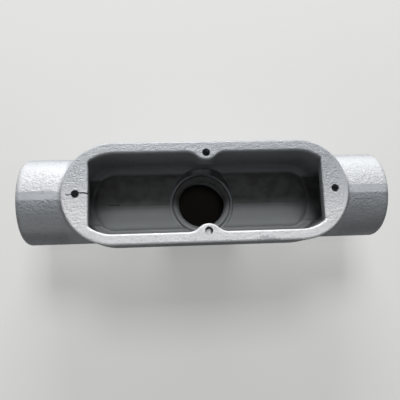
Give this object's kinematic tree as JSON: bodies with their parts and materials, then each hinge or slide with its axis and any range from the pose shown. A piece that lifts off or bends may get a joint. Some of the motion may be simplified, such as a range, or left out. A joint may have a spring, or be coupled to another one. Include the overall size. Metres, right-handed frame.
{
  "type": "conduit body",
  "caption": "Cast metal conduit body: a long round-ended box with an open cover face, a threaded hub at each end and a threaded hub at the back.",
  "frame": {"origin": "centre of the back hub's end face, on which the body stands", "axes": "+X along the end hubs, +Y across the box, +Z out of the open cover face"},
  "size_m": [0.1796, 0.0488, 0.064],
  "materials": {
    "painted_casting": "grey enamel over a rough sand casting"
  },
  "bodies": {
    "root": {"conduit_body": "painted_casting"}
  },
  "joints": []
}
